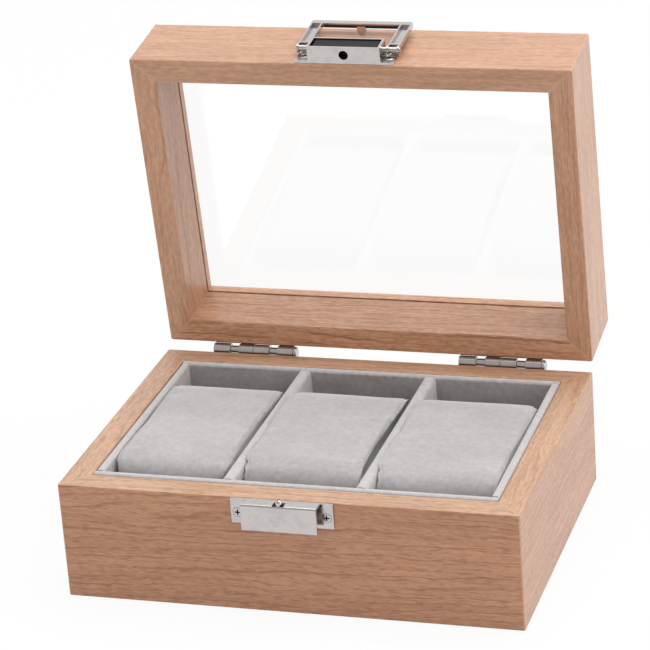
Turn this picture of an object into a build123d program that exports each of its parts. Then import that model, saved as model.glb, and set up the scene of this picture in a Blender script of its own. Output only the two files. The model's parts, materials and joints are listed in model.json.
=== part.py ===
from build123d import *
import os

os.makedirs("parts", exist_ok=True)

# A wooden display box for three watches, with a glazed lid. All sizes are in mm.
# The origin is the centre of the base's underside. +X is the box's right, +Y its back, +Z up.
# Everything is first built with the lid shut, and what rides on the lid is then swung open.

# ---------------------------------------------------------------- driving dimensions
BASE_WIDTH = 178.6
LID_WIDTH = 177.6
BOX_DEPTH = 128.3
BASE_HEIGHT = 47.1
LID_HEIGHT = 32.6
LID_OPEN_ANGLE = 82.5
SEAM_GAP = 0.2

# Wooden boards
BASE_WALL = 10.7
LID_WALL = 9.8
CORNER_ROUNDING = 0.7
EDGE_ROUNDING = 0.5
RIM_ROUNDING = 1.0
LID_RIM_ROUNDING = 0.5
GLUE_LINE = 0.05
BOTTOM_THICKNESS = 4.0

# Glazing
GLASS_THICKNESS = 2.0
GLASS_DEPTH = 23.5
GLASS_TONGUE = 3.0
GLASS_PLAY = 0.05
OPENING_ROUNDING = 4.0

# Velvet lining and dividers
LINING_THICKNESS = 3.1
LINING_RISE = 0.3
LINING_ROUNDING = 1.1
FLOOR_LINING = 1.5
DIVIDER_THICKNESS = 5.2
DIVIDER_ROUNDING = 2.2
FIT_GAP = 0.1

# Cushions
PLACES = ("left", "middle", "right")
CUSHION_GAP = 0.3
CUSHION_LENGTH = 79.4
CUSHION_FORWARD = 4.3
CUSHION_DROP = 1.6
CUSHION_CREST = 10.0
CUSHION_SIDE_ROUNDING = 2.0

# Hinges: two, each with interleaved knuckles on one pin
HINGE_SPACING = 104.0
HINGE_SETBACK = 3.0
BARREL_RADIUS = 2.5
PIN_RADIUS = 1.0
RUNNING_FIT = 0.05
FIXED_FIT = 0.02
COLLAR_RADIUS = 1.7
KNUCKLE_GAP = 0.25
KNUCKLES = (("base", 7.1), ("collar", 3.2), ("lid", 6.1), ("base", 6.6), ("collar", 3.2), ("lid", 6.5))
LEAF_THICKNESS = 1.0
LEAF_REACH = 14.0
LEAF_START = 1.7
PIN_CAP_RADIUS = 2.4
PIN_CAP_LENGTH = 1.3
STOP_TAIL_REACH = 6.0
LEAF_SCREW_RISE = 8.5
LEAF_SCREW_SPACING = 20.0

# Screws with countersunk heads and a cross recess
SCREW_HEAD_RADIUS = 2.0
SCREW_SHANK_RADIUS = 1.0
SCREW_HEAD_DEPTH = 0.85
SCREW_DOME = 0.25
SCREW_LENGTH = 7.0
RECESS_LENGTH = 2.3
RECESS_WIDTH = 0.55
RECESS_DEPTH = 0.75

# Latch, shared sizes: both halves stand on the front faces, next to the seam
LATCH_X = -0.6
SHEET = 0.9
PLATE_WIDTH = 39.7
BLOCK_WIDTH = 29.2
LATCH_SCREW_SPACING = 34.4

# Latch, lower half on the base
CATCH_TOP = 46.9
CATCH_PLATE_HEIGHT = 10.0
CATCH_REACH = 5.5
CATCH_LIP = 36.4
CATCH_SCREW_Z = 41.3
NOTCH_WIDTH = 4.5
NOTCH_START = 2.0
NOTCH_END = 5.15
NOTCH_DEPTH = 1.9
PEG_RADIUS = 1.35
PEG_REACH = 3.7
PEG_DIMPLE_RADIUS = 0.6
PEG_DIMPLE_DEPTH = 1.2
PEG_TOP = 49.0
TONGUE_TOP = 45.2
TONGUE_THICKNESS = 0.8
TONGUE_WIDTH = 3.4

# Latch, upper half on the lid, heights counted from the lid's lower face
BRACKET_START = 0.6
BRACKET_PLATE_TOP = 12.0
BRACKET_BLOCK_TOP = 9.5
BRACKET_REACH = 7.0
BRACKET_SCREW_RISE = 5.0
PEG_HOLE_RADIUS = 1.9
SPRING_THICKNESS = 0.5
SPRING_REACH = 6.5
SPRING_GAP = 0.4

# Latch bail: a flat bar between two arms pressed to channels, open away from the lid when folded back
PIVOT_RISE = 7.8
PIVOT_REACH = 3.0
BAIL_WIDTH = 41.0
WINDOW_WIDTH = 31.4
WINDOW_TOP = 27.4
BAIL_TOP = 30.0
BAIL_START = 10.0
BAIL_BACK = 2.6
BAIL_FRONT = 4.5
BAIL_SHEET = 0.7
BAIL_CORNER = 1.2
LUG_RADIUS = 1.8
BAIL_PIN_RADIUS = 1.2
BAIL_PIN_INNER = 13.4
BAIL_PIN_OUTER = 20.8
NIB_WIDTH = 3.6
NIB_THICKNESS = 0.7
NIB_EDGE = 26.8
NIB_TIP = 0.15
NIB_ROOT = 3.6

# ---------------------------------------------------------------- derived places
FRONT = -BOX_DEPTH / 2
BACK = BOX_DEPTH / 2
LID_Z = BASE_HEIGHT + SEAM_GAP
HINGE_Y = BACK + HINGE_SETBACK
HINGE_Z = BASE_HEIGHT + SEAM_GAP / 2
HINGE_AXIS = Axis((0, HINGE_Y, HINGE_Z), (1, 0, 0))
INNER_WIDTH = BASE_WIDTH - 2 * BASE_WALL
INNER_DEPTH = BOX_DEPTH - 2 * BASE_WALL
FLOOR_Z = BOTTOM_THICKNESS + FLOOR_LINING
LINING_TOP = BASE_HEIGHT + LINING_RISE
LINED_WIDTH = INNER_WIDTH - 2 * LINING_THICKNESS
LINED_DEPTH = INNER_DEPTH - 2 * LINING_THICKNESS
PLACE_WIDTH = (LINED_WIDTH - 2 * DIVIDER_THICKNESS) / 3
PLACE_PITCH = PLACE_WIDTH + DIVIDER_THICKNESS
STAND = (Align.CENTER, Align.CENTER, Align.MIN)

nodes = {}


# ---------------------------------------------------------------- helpers
def span(x, y, z):
    """A box between two x, two y and two z values."""
    size = (x[1] - x[0], y[1] - y[0], z[1] - z[0])
    return Pos(x[0], y[0], z[0]) * Box(*size, align=(Align.MIN, Align.MIN, Align.MIN))


def mirrored_pair(shape, x):
    """A shape and its mirror image about the plane across the given x."""
    return shape, mirror(shape, about=Plane(origin=(x, 0, 0), z_dir=(1, 0, 0)))


def rod(x, y, z, radius):
    """A round bar along X between two x values."""
    length = x[1] - x[0]
    middle = (x[0] + x[1]) / 2
    return Pos(middle, y, z) * Rot(0, 90, 0) * Cylinder(radius, length)


def softened_block(width, depth, height):
    """A wooden block with its outer corners and edges eased by sanding."""
    block = Box(width, depth, height, align=STAND)
    block = fillet(block.edges().filter_by(Axis.Z), CORNER_ROUNDING)
    top = block.faces().sort_by(Axis.Z)[-1].edges()
    bottom = block.faces().sort_by(Axis.Z)[0].edges()
    return fillet(top + bottom, EDGE_ROUNDING)


def side_wedge(length, offset, wall, height):
    """The prism that holds the -Y side of a mitred frame, up to the glue lines."""
    half = length / 2 - GLUE_LINE
    reach = wall + EDGE_ROUNDING
    outline = Polygon(
        (-half - reach, -offset - reach),
        (half + reach, -offset - reach),
        (half - reach, -offset + reach),
        (-half + reach, -offset + reach),
        align=None,
    )
    return extrude(outline, height)


def mitred_boards(frame, width, wall, height):
    """Cut a rectangular frame into its four boards along the corner mitres."""
    long_side = side_wedge(width, BOX_DEPTH / 2, wall, height)
    short_side = side_wedge(BOX_DEPTH, width / 2, wall, height)
    return {
        "front": frame & long_side,
        "back": frame & (Rot(0, 0, 180) * long_side),
        "right": frame & (Rot(0, 0, 90) * short_side),
        "left": frame & (Rot(0, 0, -90) * short_side),
    }


def screw_body(growth=0.0):
    """A countersunk screw pointing down -Z, its rim at z = 0; growth makes its hole."""
    head = Cone(
        SCREW_SHANK_RADIUS + growth,
        SCREW_HEAD_RADIUS + growth,
        SCREW_HEAD_DEPTH,
        align=(Align.CENTER, Align.CENTER, Align.MAX),
    )
    shank = Cylinder(
        SCREW_SHANK_RADIUS + growth,
        SCREW_LENGTH + growth,
        align=(Align.CENTER, Align.CENTER, Align.MAX),
    )
    return head + shank


def screw():
    """A countersunk screw with a slightly domed head and a cross recess."""
    dome_radius = (SCREW_HEAD_RADIUS ** 2 + SCREW_DOME ** 2) / (2 * SCREW_DOME)
    ball = Pos(0, 0, SCREW_DOME - dome_radius) * Sphere(dome_radius)
    dome = ball & Cylinder(SCREW_HEAD_RADIUS, SCREW_DOME, align=STAND)
    slot = Pos(0, 0, SCREW_DOME) * Box(
        RECESS_LENGTH, RECESS_WIDTH, 2 * (RECESS_DEPTH + SCREW_DOME)
    )
    return screw_body() + dome - slot - Rot(0, 0, 90) * slot


def facing(position, outward):
    """The place of a screw whose head looks along the outward direction."""
    return Plane(origin=position, x_dir=(1, 0, 0), z_dir=outward).location


def opened(shape):
    """Swing a shape that rides on the lid from shut to open."""
    return shape.rotate(HINGE_AXIS, -LID_OPEN_ANGLE)


def save_group(name, shapes):
    """Keep several equal pieces as one node of separate solids."""
    nodes[name] = Compound(children=list(shapes))


# ---------------------------------------------------------------- wooden base
def base_boards():
    """The four mitred walls, rebated underneath for the bottom panel."""
    frame = softened_block(BASE_WIDTH, BOX_DEPTH, BASE_HEIGHT)
    frame -= Box(INNER_WIDTH, INNER_DEPTH, BASE_HEIGHT, align=STAND)
    frame = fillet(frame.faces().sort_by(Axis.Z)[-1].inner_wires()[0].edges(), RIM_ROUNDING)
    rebate = BASE_WALL / 2
    rebate_size = (INNER_WIDTH + 2 * rebate, INNER_DEPTH + 2 * rebate, BOTTOM_THICKNESS)
    frame -= Box(*rebate_size, align=STAND)
    return mitred_boards(frame, BASE_WIDTH, BASE_WALL, BASE_HEIGHT)


def bottom_board():
    """The bottom panel, let into the rebate from below, flush with the walls."""
    width = INNER_WIDTH + BASE_WALL - 2 * FIT_GAP
    depth = INNER_DEPTH + BASE_WALL - 2 * FIT_GAP
    return Box(width, depth, BOTTOM_THICKNESS, align=STAND)


# ---------------------------------------------------------------- velvet lining
def lining_board(length):
    """One velvet-covered board on edge along X, its upper edges rounded."""
    board = Pos(0, 0, FLOOR_Z) * Box(length, LINING_THICKNESS, LINING_TOP - FLOOR_Z, align=STAND)
    upper = board.faces().sort_by(Axis.Z)[-1].edges().filter_by(Axis.X)
    return fillet(upper, LINING_ROUNDING)


def lining():
    """The floor lining and the four wall linings; the short ones stand between the long ones."""
    floor_piece = Box(INNER_WIDTH - FIT_GAP, INNER_DEPTH - FIT_GAP, FLOOR_LINING, align=STAND)
    nodes["floor_lining"] = Pos(0, 0, BOTTOM_THICKNESS) * floor_piece
    long_board = lining_board(INNER_WIDTH - FIT_GAP)
    short_board = Rot(0, 0, 90) * lining_board(LINED_DEPTH - FIT_GAP)
    y = (INNER_DEPTH - LINING_THICKNESS) / 2
    x = (INNER_WIDTH - LINING_THICKNESS) / 2
    nodes["front_lining"] = Pos(0, -y, 0) * long_board
    nodes["back_lining"] = Pos(0, y, 0) * long_board
    nodes["left_lining"] = Pos(-x, 0, 0) * short_board
    nodes["right_lining"] = Pos(x, 0, 0) * short_board


def divider():
    """A velvet-covered divider between two places, as high as the wall linings."""
    board = Box(DIVIDER_THICKNESS, LINED_DEPTH - FIT_GAP, LINING_TOP - FLOOR_Z, align=STAND)
    upper = board.faces().sort_by(Axis.Z)[-1].edges().filter_by(Axis.Y)
    return Pos(0, 0, FLOOR_Z) * fillet(upper, DIVIDER_ROUNDING)


def cushion():
    """A soft cushion as wide as its place but shorter, its crest rounded to the front and the back."""
    width = PLACE_WIDTH - 2 * CUSHION_GAP
    height = BASE_HEIGHT - CUSHION_DROP - FLOOR_Z - CUSHION_GAP
    block = Box(width, CUSHION_LENGTH, height, align=STAND)
    crest = block.faces().sort_by(Axis.Z)[-1].edges().filter_by(Axis.X)
    block = fillet(crest, CUSHION_CREST)
    sides = block.faces().filter_by(Axis.X).edges()
    block = fillet(sides, CUSHION_SIDE_ROUNDING)
    return Pos(0, -CUSHION_FORWARD, FLOOR_Z + CUSHION_GAP) * block


# ---------------------------------------------------------------- lid
def lid_rails():
    """The four mitred lid rails, grooved for the glass, with the window's outer edge rounded."""
    width = LID_WIDTH - 2 * LID_WALL
    depth = BOX_DEPTH - 2 * LID_WALL
    frame = softened_block(LID_WIDTH, BOX_DEPTH, LID_HEIGHT)
    frame -= Box(width, depth, LID_HEIGHT, align=STAND)
    frame = fillet(frame.faces().sort_by(Axis.Z)[-1].inner_wires()[0].edges(), OPENING_ROUNDING)
    frame = fillet(frame.faces().sort_by(Axis.Z)[0].inner_wires()[0].edges(), LID_RIM_ROUNDING)
    groove = Box(
        width + 2 * GLASS_TONGUE,
        depth + 2 * GLASS_TONGUE,
        GLASS_THICKNESS + 2 * GLASS_PLAY,
        align=STAND,
    )
    frame -= Pos(0, 0, GLASS_DEPTH - GLASS_PLAY) * groove
    return mitred_boards(frame, LID_WIDTH, LID_WALL, LID_HEIGHT)


def glass_pane():
    """The clear pane, held on all four sides by the rails' groove."""
    width = LID_WIDTH - 2 * LID_WALL + 2 * GLASS_TONGUE - 2 * FIT_GAP
    depth = BOX_DEPTH - 2 * LID_WALL + 2 * GLASS_TONGUE - 2 * FIT_GAP
    return Pos(0, 0, LID_Z + GLASS_DEPTH) * Box(width, depth, GLASS_THICKNESS, align=STAND)


# ---------------------------------------------------------------- hinges
def knuckle_spans(left_end):
    """The kind and the two x values of each knuckle and collar, from left to right."""
    spans = []
    x = left_end
    for kind, length in KNUCKLES:
        spans.append((kind, (x, x + length)))
        x += length + KNUCKLE_GAP
    return spans


def hinge_leaf(spans, kind, side, bore):
    """One leaf: a plate on the back of the box and the knuckles that it is rolled into.

    side is -1 for the leaf below the seam and +1 for the one above it.
    """
    left = spans[0][1][0]
    right = spans[-1][1][1]
    near = HINGE_Z + side * LEAF_START
    far = HINGE_Z + side * LEAF_REACH
    tangent = HINGE_Z + side * BARREL_RADIUS
    leaf = span((left, right), (BACK, BACK + LEAF_THICKNESS), sorted((near, far)))
    bores = []
    for knuckle_kind, x in spans:
        if knuckle_kind != kind:
            continue
        leaf += rod(x, HINGE_Y, HINGE_Z, BARREL_RADIUS)
        leaf += span(x, (BACK, HINGE_Y), sorted((near, tangent)))
        bores.append(rod(x, HINGE_Y, HINGE_Z, bore))
    for hole in bores:
        leaf -= hole
    return leaf


def stop_tails(spans):
    """Tails of the lid knuckles that meet the lower leaf and stop the lid when it is open."""
    tails = []
    near_y = BACK + LEAF_THICKNESS + RUNNING_FIT
    depth = (near_y, near_y + LEAF_THICKNESS)
    height = (HINGE_Z - STOP_TAIL_REACH, HINGE_Z - PIN_RADIUS - RUNNING_FIT)
    for kind, x in spans:
        if kind == "lid":
            tails.append(span(x, depth, height).rotate(HINGE_AXIS, LID_OPEN_ANGLE))
    return tails


def leaf_screw_places(middle, side):
    """The places of one leaf's two screws."""
    z = HINGE_Z + side * LEAF_SCREW_RISE
    y = BACK + LEAF_THICKNESS
    return [
        facing((middle + offset, y, z), (0, 1, 0))
        for offset in (-LEAF_SCREW_SPACING / 2, LEAF_SCREW_SPACING / 2)
    ]


def hinge_pin(left, right):
    """The hinge pin with a domed cap at its right end."""
    pin = rod((left, right + KNUCKLE_GAP), HINGE_Y, HINGE_Z, PIN_RADIUS)
    cap_x = (right + KNUCKLE_GAP, right + KNUCKLE_GAP + PIN_CAP_LENGTH)
    cap = rod(cap_x, HINGE_Y, HINGE_Z, PIN_CAP_RADIUS)
    rim = cap.edges().sort_by(Axis.X)[-1]
    return pin + fillet(rim, PIN_CAP_LENGTH / 2)


def build_hinge(name, middle, back_board, lid_board):
    """One hinge with its pin, collars and screws; returns the boards with screw holes."""
    length = sum(size for _, size in KNUCKLES) + KNUCKLE_GAP * len(KNUCKLES) + PIN_CAP_LENGTH
    spans = knuckle_spans(middle - length / 2)
    left = spans[0][1][0]
    right = spans[-1][1][1]
    base_leaf = hinge_leaf(spans, "base", -1, PIN_RADIUS + FIXED_FIT)
    lid_leaf = hinge_leaf(spans, "lid", 1, PIN_RADIUS + RUNNING_FIT)
    for tail in stop_tails(spans):
        lid_leaf += tail
    for place in leaf_screw_places(middle, -1):
        base_leaf -= place * screw_body(FIXED_FIT)
        back_board -= place * screw_body(FIXED_FIT)
    for place in leaf_screw_places(middle, 1):
        lid_leaf -= place * screw_body(FIXED_FIT)
        lid_board -= place * screw_body(FIXED_FIT)
    collars = [
        rod(x, HINGE_Y, HINGE_Z, COLLAR_RADIUS) - rod(x, HINGE_Y, HINGE_Z, PIN_RADIUS + FIXED_FIT)
        for kind, x in spans
        if kind == "collar"
    ]
    nodes[name + "_hinge_base_leaf"] = base_leaf
    nodes[name + "_hinge_lid_leaf"] = opened(lid_leaf)
    nodes[name + "_hinge_pin"] = hinge_pin(left, right)
    save_group(name + "_hinge_collars", collars)
    base_screws = [place * screw() for place in leaf_screw_places(middle, -1)]
    lid_screws = [opened(place * screw()) for place in leaf_screw_places(middle, 1)]
    save_group(name + "_hinge_base_screws", base_screws)
    save_group(name + "_hinge_lid_screws", lid_screws)
    return back_board, lid_board


# ---------------------------------------------------------------- latch, lower half
def across(half_width):
    """The two x values of a piece centred on the latch."""
    return (LATCH_X - half_width, LATCH_X + half_width)


def proud(low, high):
    """The two y values of a piece that stands out of the front face from low to high."""
    return (FRONT - high, FRONT - low)


def latch_screw_places(z):
    """The places of the two screws of one latch plate."""
    return [
        facing((LATCH_X + offset, FRONT - SHEET, z), (0, -1, 0))
        for offset in (-LATCH_SCREW_SPACING / 2, LATCH_SCREW_SPACING / 2)
    ]


def catch_plate():
    """A plate whose middle is folded out and down into the lip that the bail hooks under."""
    bottom = CATCH_TOP - CATCH_PLATE_HEIGHT
    plate = span(across(PLATE_WIDTH / 2), proud(0, SHEET), (bottom, CATCH_TOP))
    block = span(across(BLOCK_WIDTH / 2), proud(0, CATCH_REACH), (CATCH_LIP, CATCH_TOP))
    folds = block.faces().sort_by(Axis.Y)[0].edges().filter_by(Axis.X).sort_by(Axis.Z)
    block = fillet(folds[-1], SHEET)
    hollow = proud(SHEET, CATCH_REACH - SHEET)
    block -= span(across(BLOCK_WIDTH / 2), hollow, (CATCH_LIP, CATCH_TOP - SHEET))
    block -= span(across(BLOCK_WIDTH / 2), proud(0, SHEET), (CATCH_LIP, bottom))
    notch = proud(NOTCH_START, NOTCH_END)
    block -= span(across(NOTCH_WIDTH / 2), notch, (CATCH_TOP - NOTCH_DEPTH, CATCH_TOP))
    plate += block
    for place in latch_screw_places(CATCH_SCREW_Z):
        plate -= place * screw_body(FIXED_FIT)
    return plate


def catch_peg():
    """The dimpled locating peg, standing on a tongue behind the lip."""
    tongue_y = proud(SHEET, CATCH_REACH - SHEET - FIT_GAP)
    tongue_z = (TONGUE_TOP - TONGUE_THICKNESS, TONGUE_TOP)
    tongue = span(across(TONGUE_WIDTH / 2), tongue_y, tongue_z)
    height = PEG_TOP - PEG_RADIUS - TONGUE_TOP
    foot = Pos(LATCH_X, FRONT - PEG_REACH, TONGUE_TOP)
    peg = foot * Cylinder(PEG_RADIUS, height, align=STAND)
    peg += foot * Pos(0, 0, height) * Sphere(PEG_RADIUS)
    dimple = Cylinder(PEG_DIMPLE_RADIUS, PEG_DIMPLE_DEPTH + PEG_RADIUS, align=STAND)
    peg -= foot * Pos(0, 0, height + PEG_RADIUS - PEG_DIMPLE_DEPTH) * dimple
    return tongue + peg


# ---------------------------------------------------------------- latch, upper half
def latch_bracket():
    """The lid's plate with a box folded out of it, pierced for the peg and the bail's pins."""
    z = (LID_Z + BRACKET_START, LID_Z + BRACKET_BLOCK_TOP)
    plate_z = (LID_Z + BRACKET_START, LID_Z + BRACKET_PLATE_TOP)
    bracket = span(across(PLATE_WIDTH / 2), proud(0, SHEET), plate_z)
    block = span(across(BLOCK_WIDTH / 2), proud(0, BRACKET_REACH), z)
    inner_z = (z[0] + SHEET, z[1] - SHEET)
    block -= span(across(BLOCK_WIDTH / 2 - SHEET), proud(SHEET, BRACKET_REACH), inner_z)
    bracket += block
    hole = Cylinder(PEG_HOLE_RADIUS, 2 * SHEET)
    bracket -= Pos(LATCH_X, FRONT - PEG_REACH, z[0] + SHEET / 2) * hole
    bore = rod(
        (LATCH_X + BAIL_PIN_INNER - FIT_GAP, LATCH_X + BLOCK_WIDTH / 2 + FIT_GAP),
        FRONT - PIVOT_REACH,
        LID_Z + PIVOT_RISE,
        BAIL_PIN_RADIUS + RUNNING_FIT,
    )
    for cheek_bore in mirrored_pair(bore, LATCH_X):
        bracket -= cheek_bore
    for place in latch_screw_places(LID_Z + BRACKET_SCREW_RISE):
        bracket -= place * screw_body(FIXED_FIT)
    return bracket


def latch_spring():
    """The blackened leaf spring that bridges the bracket's box and snaps the bail over."""
    half = BLOCK_WIDTH / 2 - SHEET - SPRING_GAP
    z = (
        LID_Z + BRACKET_START + SHEET + SPRING_GAP,
        LID_Z + BRACKET_BLOCK_TOP - SHEET - SPRING_GAP,
    )
    strip = span(across(half), proud(SHEET, SPRING_REACH), z)
    shoulders = strip.faces().sort_by(Axis.Y)[0].edges().filter_by(Axis.Z)
    strip = fillet(shoulders, 2 * SPRING_THICKNESS)
    inside = across(half - SPRING_THICKNESS)
    return strip - span(inside, proud(SHEET, SPRING_REACH - SPRING_THICKNESS), z)


def bail_lug(x):
    """One ear of the bail, rounded about the pivot."""
    y = FRONT - PIVOT_REACH
    z = LID_Z + PIVOT_RISE
    ear = rod(x, y, z, LUG_RADIUS)
    ear += span(x, proud(BAIL_BACK, BAIL_FRONT), (z, LID_Z + BAIL_START + BAIL_SHEET))
    return ear


def latch_bail():
    """The bail: two channelled arms and a bar, with ears at its pivot and a nib to pull it by."""
    z = (LID_Z + BAIL_START, LID_Z + BAIL_TOP)
    frame = span(across(BAIL_WIDTH / 2), proud(BAIL_BACK, BAIL_FRONT), z)
    far_corners = frame.edges().filter_by(Axis.Y).sort_by(Axis.Z)[-2:]
    frame = fillet(far_corners, BAIL_CORNER)
    window_z = (LID_Z, LID_Z + WINDOW_TOP)
    frame -= span(across(WINDOW_WIDTH / 2), proud(0, BRACKET_REACH), window_z)
    channel = proud(BAIL_BACK + BAIL_SHEET, BRACKET_REACH)
    outer = BAIL_WIDTH / 2 - BAIL_SHEET
    inner = WINDOW_WIDTH / 2 + BAIL_SHEET
    arm_z = (z[0] + BAIL_SHEET, window_z[1])
    arm = span((LATCH_X + inner, LATCH_X + outer), channel, arm_z)
    for groove in mirrored_pair(arm, LATCH_X):
        frame -= groove
    ears = []
    for start in (WINDOW_WIDTH / 2, outer):
        ear = bail_lug((LATCH_X + start, LATCH_X + start + BAIL_SHEET))
        ears.extend(mirrored_pair(ear, LATCH_X))
    for ear in ears:
        frame += ear
    bore = rod(
        across(BAIL_PIN_OUTER),
        FRONT - PIVOT_REACH,
        LID_Z + PIVOT_RISE,
        BAIL_PIN_RADIUS + FIXED_FIT,
    )
    return frame - bore + bail_nib()


def bail_nib():
    """The round-ended tab at the middle of the bail's bar, which also rests on the lid."""
    y = proud(NIB_TIP, NIB_ROOT)
    z = (LID_Z + NIB_EDGE, LID_Z + NIB_EDGE + NIB_THICKNESS)
    nib = span(across(NIB_WIDTH / 2), y, z)
    tip = nib.edges().filter_by(Axis.Z).sort_by(Axis.Y)[-2:]
    return fillet(tip, NIB_WIDTH / 2 - FIT_GAP)


def latch_pins():
    """The two stub pins on which the bail turns in the bracket."""
    x = (LATCH_X + BAIL_PIN_INNER, LATCH_X + BAIL_PIN_OUTER)
    pin = rod(x, FRONT - PIVOT_REACH, LID_Z + PIVOT_RISE, BAIL_PIN_RADIUS)
    return mirrored_pair(pin, LATCH_X)


# ---------------------------------------------------------------- assembly
boards = base_boards()
rails = {side: Pos(0, 0, LID_Z) * rail for side, rail in lid_rails().items()}

for hinge_name, hinge_side in (("left", -1), ("right", 1)):
    boards["back"], rails["back"] = build_hinge(
        hinge_name, hinge_side * HINGE_SPACING / 2, boards["back"], rails["back"]
    )

for screw_place in latch_screw_places(CATCH_SCREW_Z):
    boards["front"] -= screw_place * screw_body(FIXED_FIT)
for screw_place in latch_screw_places(LID_Z + BRACKET_SCREW_RISE):
    rails["front"] -= screw_place * screw_body(FIXED_FIT)

for side, board in boards.items():
    nodes[side + "_panel"] = board
for side, rail in rails.items():
    nodes["lid_" + side + "_rail"] = opened(rail)

nodes["bottom_panel"] = bottom_board()
lining()
nodes["left_divider"] = Pos(-PLACE_PITCH / 2, 0, 0) * divider()
nodes["right_divider"] = Pos(PLACE_PITCH / 2, 0, 0) * divider()
for index, place_name in enumerate(PLACES):
    nodes["cushion_" + place_name] = Pos((index - 1) * PLACE_PITCH, 0, 0) * cushion()

nodes["glass_pane"] = opened(glass_pane())

nodes["catch_plate"] = catch_plate()
nodes["catch_peg"] = catch_peg()
save_group("catch_screws", [place * screw() for place in latch_screw_places(CATCH_SCREW_Z)])
nodes["latch_bracket"] = opened(latch_bracket())
nodes["latch_spring"] = opened(latch_spring())
bracket_screws = latch_screw_places(LID_Z + BRACKET_SCREW_RISE)
save_group("latch_screws", [opened(place * screw()) for place in bracket_screws])
nodes["latch_bail"] = opened(latch_bail())
save_group("latch_pins", [opened(pin) for pin in latch_pins()])

for node_name, shape in nodes.items():
    export_step(shape, "parts/" + node_name + ".step")
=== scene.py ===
"""Looks of a wooden display box for three watches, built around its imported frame.

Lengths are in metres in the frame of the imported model: the origin is the centre of the base's
underside, +X is the box's right, +Y its back and +Z up. The lid rests open at its stop.
"""

import json
import logging
import math
from dataclasses import dataclass
from enum import Enum
from functools import cache
from typing import Any

import bmesh
import bpy
from mathutils import Matrix, Vector, noise

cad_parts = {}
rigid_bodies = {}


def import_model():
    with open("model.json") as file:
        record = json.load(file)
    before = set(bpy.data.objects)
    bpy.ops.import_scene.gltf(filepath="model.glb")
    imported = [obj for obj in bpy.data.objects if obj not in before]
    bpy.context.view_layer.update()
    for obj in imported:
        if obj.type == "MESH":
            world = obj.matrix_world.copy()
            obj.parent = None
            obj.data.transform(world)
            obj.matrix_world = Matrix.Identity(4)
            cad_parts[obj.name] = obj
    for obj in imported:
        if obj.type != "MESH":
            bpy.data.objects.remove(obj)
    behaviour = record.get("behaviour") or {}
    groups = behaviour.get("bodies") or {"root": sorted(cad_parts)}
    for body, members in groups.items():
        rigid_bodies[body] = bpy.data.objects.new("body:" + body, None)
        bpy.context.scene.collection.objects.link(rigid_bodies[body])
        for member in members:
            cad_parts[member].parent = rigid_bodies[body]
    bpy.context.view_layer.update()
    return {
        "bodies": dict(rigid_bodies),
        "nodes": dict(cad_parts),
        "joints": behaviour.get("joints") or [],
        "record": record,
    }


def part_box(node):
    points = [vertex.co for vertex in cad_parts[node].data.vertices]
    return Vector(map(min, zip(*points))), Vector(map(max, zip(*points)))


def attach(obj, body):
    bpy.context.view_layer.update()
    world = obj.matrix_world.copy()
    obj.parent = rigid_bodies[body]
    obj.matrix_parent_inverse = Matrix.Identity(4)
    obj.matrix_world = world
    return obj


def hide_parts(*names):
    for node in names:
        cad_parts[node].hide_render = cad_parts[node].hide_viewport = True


LOG = logging.getLogger("watch_box")
MM = 0.001
IMAGE_SIDE = 650

Colour = tuple[float, float, float]
Point = tuple[float, float, float]
Span = tuple[float, float]
Shape = bmesh.types.BMesh
Piece = bpy.types.Object
Material = bpy.types.Material
Tree = bpy.types.NodeTree
Frame = dict[str, Any]


def smoothstep(share: float) -> float:
    """Ease a share from 0 to 1, held at both ends."""
    held = min(max(share, 0.0), 1.0)
    return held * held * (3.0 - 2.0 * held)


def opaque(colour: Colour) -> tuple[float, float, float, float]:
    """Give a colour its alpha of one, as colour sockets want it."""
    return (*colour, 1.0)


class BoardRun(Enum):
    """The direction that a board's length, and so its grain, runs in."""

    ACROSS = 0.0
    DEEP = 90.0


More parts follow.
